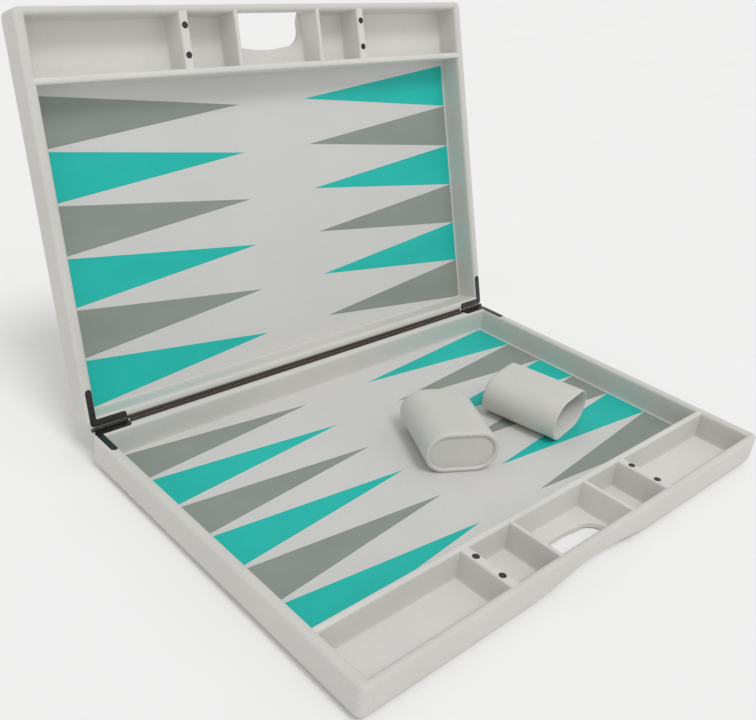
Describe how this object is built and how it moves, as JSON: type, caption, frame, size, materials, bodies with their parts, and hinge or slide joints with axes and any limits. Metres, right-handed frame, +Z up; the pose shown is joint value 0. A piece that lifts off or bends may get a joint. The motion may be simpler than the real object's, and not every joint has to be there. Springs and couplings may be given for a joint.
{
  "type": "backgammon set",
  "caption": "Folding leather-covered backgammon case with inlaid points, checker trays, a carrying hand hole, edge hinges and loose oval dice cups.",
  "frame": {"origin": "centre of the lower leaf's underside, on the table", "axes": "+Z up; +X along the fold, to the right as seen by someone who sits at the tray side of the lower leaf; +Y from that person towards the hinge line and the lid"},
  "size_m": [0.6, 0.5531, 0.424],
  "materials": {
    "white_leather": "warm white pebbled leather over board, soft satin",
    "field_leather": "smooth light grey-white leather, matt",
    "teal_leather": "smooth teal leather inlay, matt",
    "grey_leather": "smooth grey leather inlay, matt",
    "brown_facing": "dark brown facing in the fold, matt",
    "cup_leather": "warm white smooth leather, satin",
    "cup_felt": "short felt lining",
    "black_metal": "black-plated satin hinges and screws",
    "pin_steel": "dark steel pin",
    "magnet_metal": "dark plated magnet"
  },
  "bodies": {
    "lower_leaf": {"lower_base_panel": "white_leather", "lower_left_side_wall": "white_leather", "lower_right_side_wall": "white_leather", "lower_end_wall": "white_leather", "lower_fold_wall": "white_leather", "lower_tray_wall": "white_leather", "lower_left_magnet_partition": "white_leather", "lower_right_magnet_partition": "white_leather", "lower_left_handle_partition": "white_leather", "lower_right_handle_partition": "white_leather", "lower_playing_surface": "field_leather", "lower_teal_points": "teal_leather", "lower_grey_points": "grey_leather", "lower_magnets": "magnet_metal", "lower_fold_facing": "brown_facing", "left_hinge_lower_plate": "black_metal", "left_hinge_pin": "pin_steel", "left_hinge_lower_screws": "black_metal", "right_hinge_lower_plate": "black_metal", "right_hinge_pin": "pin_steel", "right_hinge_lower_screws": "black_metal"},
    "lid": {"upper_base_panel": "white_leather", "upper_left_side_wall": "white_leather", "upper_right_side_wall": "white_leather", "upper_end_wall": "white_leather", "upper_fold_wall": "white_leather", "upper_tray_wall": "white_leather", "upper_left_magnet_partition": "white_leather", "upper_right_magnet_partition": "white_leather", "upper_left_handle_partition": "white_leather", "upper_right_handle_partition": "white_leather", "upper_playing_surface": "field_leather", "upper_teal_points": "teal_leather", "upper_grey_points": "grey_leather", "upper_magnets": "magnet_metal", "upper_fold_facing": "brown_facing", "left_hinge_upper_plate": "black_metal", "left_hinge_upper_screws": "black_metal", "right_hinge_upper_plate": "black_metal", "right_hinge_upper_screws": "black_metal"},
    "left_cup": {"left_cup_shell": "cup_leather", "left_cup_base": "cup_leather", "left_cup_lining": "cup_felt"},
    "right_cup": {"right_cup_shell": "cup_leather", "right_cup_base": "cup_leather", "right_cup_lining": "cup_felt"}
  },
  "joints": [
    {"name": "lid_hinge", "type": "hinge", "parent": "lower_leaf", "child": "lid", "pos_m": [0, 0.20275, 0.0383], "axis": [-1, 0, 0], "range_deg": [-106.8, 73.2]},
    {"name": "left_cup_slide", "type": "slide", "parent": "lower_leaf", "child": "left_cup", "axis": [-1, 0, 0], "range_m": [0, 0.2]},
    {"name": "right_cup_slide", "type": "slide", "parent": "lower_leaf", "child": "right_cup", "axis": [1, 0, 0], "range_m": [0, 0.07]}
  ]
}
